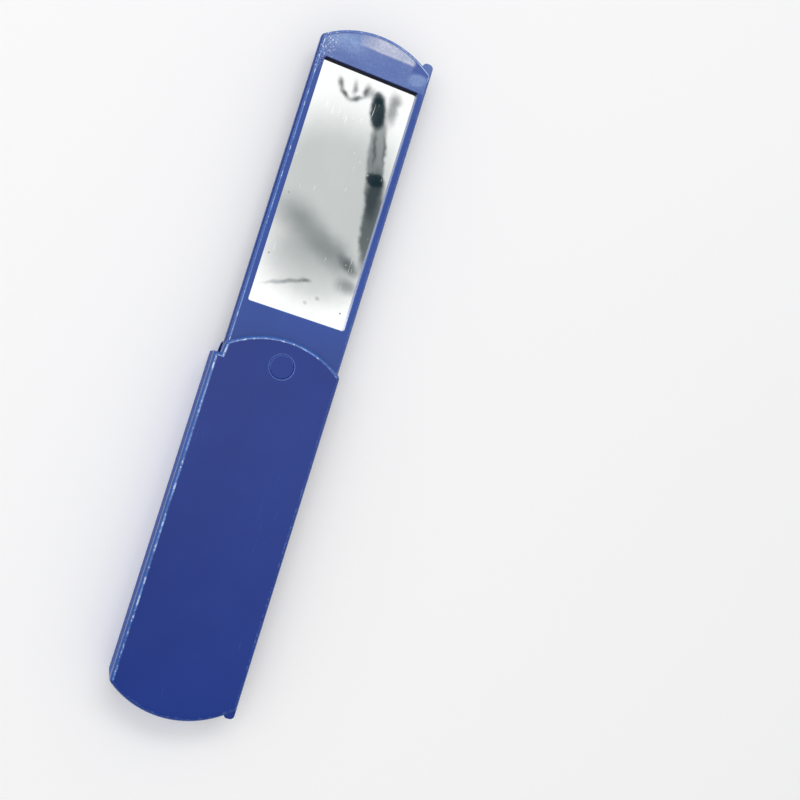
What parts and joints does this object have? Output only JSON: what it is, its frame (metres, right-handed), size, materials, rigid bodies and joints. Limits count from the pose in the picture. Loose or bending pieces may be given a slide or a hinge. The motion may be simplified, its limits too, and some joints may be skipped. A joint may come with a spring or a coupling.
{
  "type": "folding hairbrush with mirror",
  "caption": "Flat pocket hairbrush with a mirror in its swing-out arm: the arm turns on a pivot between two handle covers, mirror on one face and ball-tipped bristle pins on the other.",
  "frame": {"origin": "under the middle of the open brush, on the surface that its back cover lies on", "axes": "+Y from the handle's foot to the arm's far end, +Z out of the mirror and the front cover, +X to the open side of the handle"},
  "size_m": [0.0338, 0.1882, 0.0124],
  "materials": {
    "cover_blue": "glossy moulded blue plastic",
    "arm_blue": "glossy moulded blue plastic, a little lighter",
    "cap_blue": "glossy moulded blue plastic",
    "bristle": "satin moulded nylon, dark blue",
    "mirror": "silvered glass",
    "tape": "double-sided adhesive tape",
    "nylon": "natural nylon",
    "steel": "zinc-plated steel"
  },
  "bodies": {
    "handle": {"front_cover": "cover_blue", "back_cover": "cover_blue", "spine_wall": "cover_blue", "end_block": "cover_blue", "pivot_cap_front": "cap_blue", "pivot_cap_back": "cap_blue", "pivot_axle": "steel", "pivot_screw": "steel", "washer_front": "nylon", "washer_back": "nylon"},
    "mirror_arm": {"brush_base": "arm_blue", "mirror_frame": "arm_blue", "mirror_glass": "mirror", "mirror_tape": "tape", "pivot_bush": "nylon", "bristle_strip_1": "bristle", "bristle_strip_2": "bristle", "bristle_strip_3": "bristle", "bristle_strip_4": "bristle", "bristle_strip_5": "bristle", "bristle_strip_6": "bristle"}
  },
  "joints": [
    {"name": "arm_swing", "type": "hinge", "parent": "handle", "child": "mirror_arm", "pos_m": [0.00105, 0.001, 0.007], "axis": [0, 0, -1], "range_deg": [0, 180]}
  ]
}
